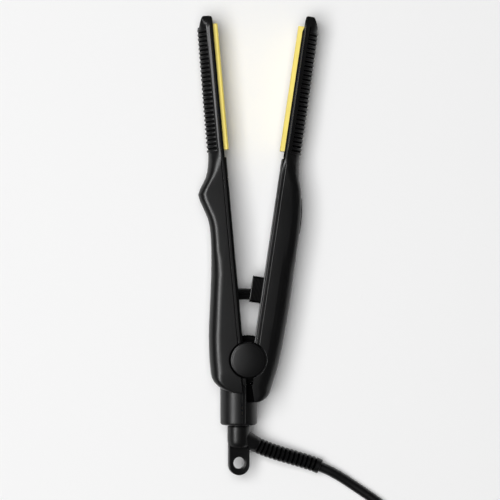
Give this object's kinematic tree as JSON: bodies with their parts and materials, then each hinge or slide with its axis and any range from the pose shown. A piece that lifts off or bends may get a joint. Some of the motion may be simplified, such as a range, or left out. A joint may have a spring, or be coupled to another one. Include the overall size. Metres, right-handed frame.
{
  "type": "mini flat iron",
  "caption": "Mini hair straightener lying open, with ribbed barrels, floating heated plates, round hinge caps, hanging swivel and a coiled lead with plug.",
  "frame": {"origin": "on the hinge axis, at the flat outer face of the base hinge cap that the iron lies on", "axes": "+Z along the hinge axis, up from the surface; +Y from the tail towards the tips; +X from the left arm towards the right arm"},
  "size_m": [0.1262, 0.3792, 0.0262],
  "materials": {
    "shell_plastic": "fine satin",
    "cover_plastic": "heat-resistant satin",
    "hinge_plastic": "satin with a bevelled rim",
    "tail_plastic": "fine satin",
    "swivel_plastic": "satin",
    "lead_rubber": "smooth flexible PVC",
    "plug_plastic": "moulded PVC",
    "tie_fabric": "woven hook-and-loop strap",
    "plate_coating": "smooth ceramic coating",
    "bright_steel": "bright",
    "contact_brass": "bright",
    "heater_ceramic": "sintered ceramic",
    "wire_sleeve": "silicone sleeve",
    "circuit_board": "solder resist"
  },
  "bodies": {
    "left_arm": {"left_shell": "shell_plastic", "left_cover": "cover_plastic", "left_cover_screws": "bright_steel", "left_plate_springs": "bright_steel", "left_wires": "wire_sleeve", "guide_peg": "cover_plastic", "hinge_barrel": "hinge_plastic", "hinge_spring": "bright_steel", "hinge_pin": "bright_steel", "hinge_cap_top": "hinge_plastic", "hinge_cap_base": "hinge_plastic", "tail_sleeve_outer": "tail_plastic", "tail_sleeve_inner": "tail_plastic", "swivel_contacts": "contact_brass"},
    "left_plate_unit": {"left_plate": "plate_coating", "left_heater": "heater_ceramic", "left_heater_clip": "bright_steel"},
    "right_arm": {"right_shell": "shell_plastic", "right_cover": "cover_plastic", "right_cover_screws": "bright_steel", "right_plate_springs": "bright_steel", "right_wires": "wire_sleeve", "guide_block": "cover_plastic", "hinge_bushes": "contact_brass", "control_board": "circuit_board", "switch_body": "cover_plastic"},
    "right_plate_unit": {"right_plate": "plate_coating", "right_heater": "heater_ceramic", "right_heater_clip": "bright_steel"},
    "rocker": {"power_rocker": "shell_plastic"},
    "cord_swivel": {"swivel_stub": "swivel_plastic", "slip_rings": "contact_brass", "strain_relief": "lead_rubber", "cord": "lead_rubber", "cord_coil": "lead_rubber", "cord_tail": "lead_rubber", "cord_tie": "tie_fabric", "plug_body": "plug_plastic", "plug_blades": "bright_steel"}
  },
  "joints": [
    {"name": "arm_hinge", "type": "hinge", "parent": "left_arm", "child": "right_arm", "pos_m": [0, 0, 0.0128], "axis": [0, 0, 1], "range_deg": [0, 13.6], "stiffness_Nm_per_rad": 0.25, "springref_deg": -20.05},
    {"name": "left_plate_float", "type": "slide", "parent": "left_arm", "child": "left_plate_unit", "axis": [-0.996, -0.0889, 0], "range_m": [0, 0.0005], "stiffness_N_per_m": 2500, "springref_m": -0.0008},
    {"name": "right_plate_float", "type": "slide", "parent": "right_arm", "child": "right_plate_unit", "axis": [0.989, -0.1478, 0], "range_m": [0, 0.0005], "stiffness_N_per_m": 2500, "springref_m": -0.0008},
    {"name": "rocker_tilt", "type": "hinge", "parent": "right_arm", "child": "rocker", "pos_m": [0.02577, 0.07906, 0.0128], "axis": [0, 0, 1], "range_deg": [-4, 4]},
    {"name": "swivel_turn", "type": "hinge", "parent": "left_arm", "child": "cord_swivel", "pos_m": [-0.0051, -0.03, 0.0128], "axis": [0, -1, 0], "continuous": true}
  ]
}
